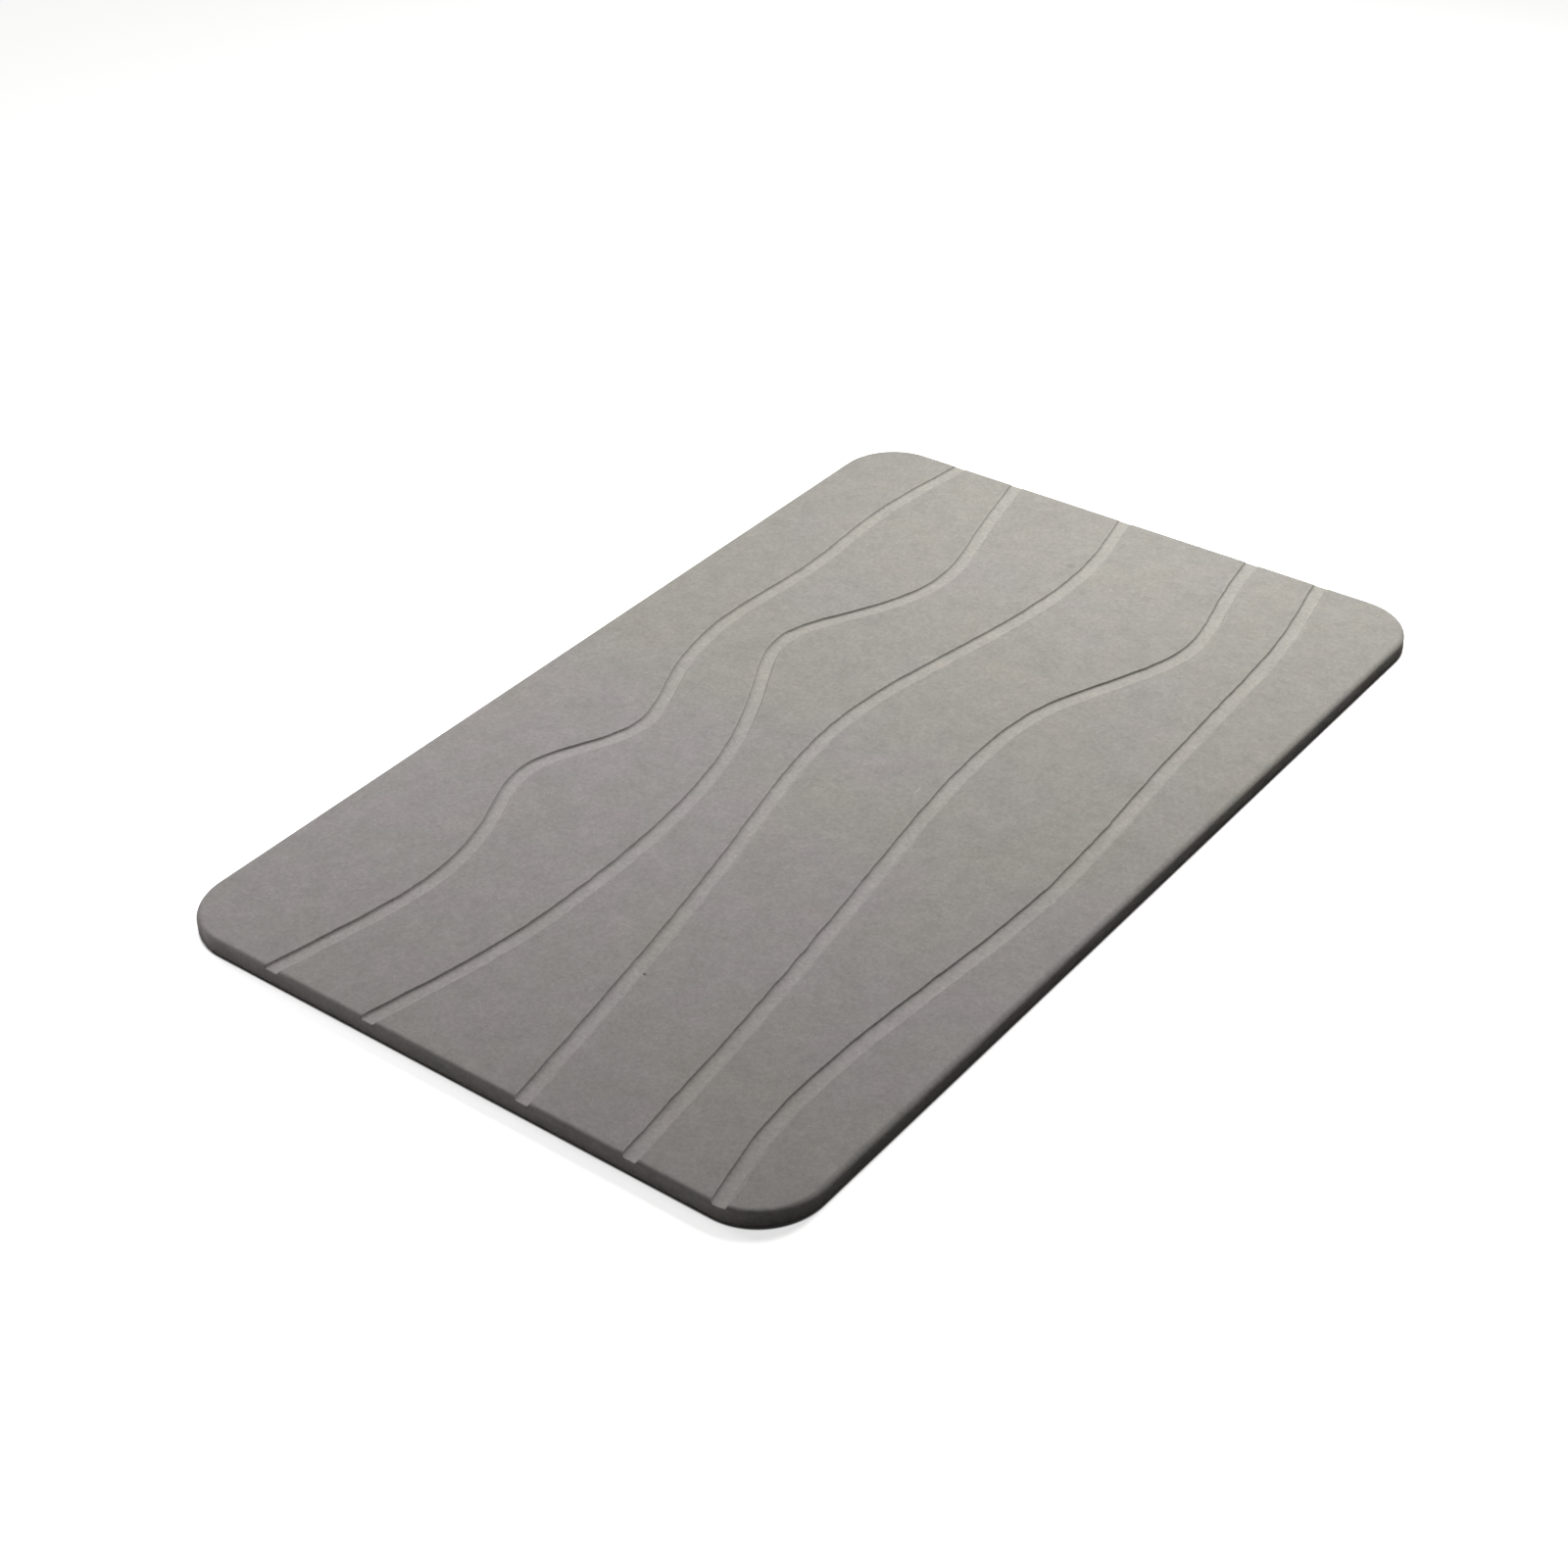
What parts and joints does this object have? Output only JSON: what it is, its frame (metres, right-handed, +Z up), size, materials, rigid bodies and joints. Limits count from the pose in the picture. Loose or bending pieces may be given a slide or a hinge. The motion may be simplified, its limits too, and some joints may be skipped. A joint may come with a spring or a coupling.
{
  "type": "bath mat",
  "caption": "Rounded-rectangle pressed-stone bath mat with wavy drain grooves running its length, lying on a thin non-slip underlay.",
  "frame": {"origin": "centre of the outline, on the floor that the mat lies on", "axes": "+Y along the mat's length, +X across it, +Z up out of the grooved face"},
  "size_m": [0.38, 0.6, 0.01],
  "materials": {
    "pressed_stone": "matt, fine mineral grain",
    "coated_mesh": "matt, soft foamed coating"
  },
  "bodies": {
    "root": {"stone_slab": "pressed_stone", "non_slip_underlay": "coated_mesh"}
  },
  "joints": []
}
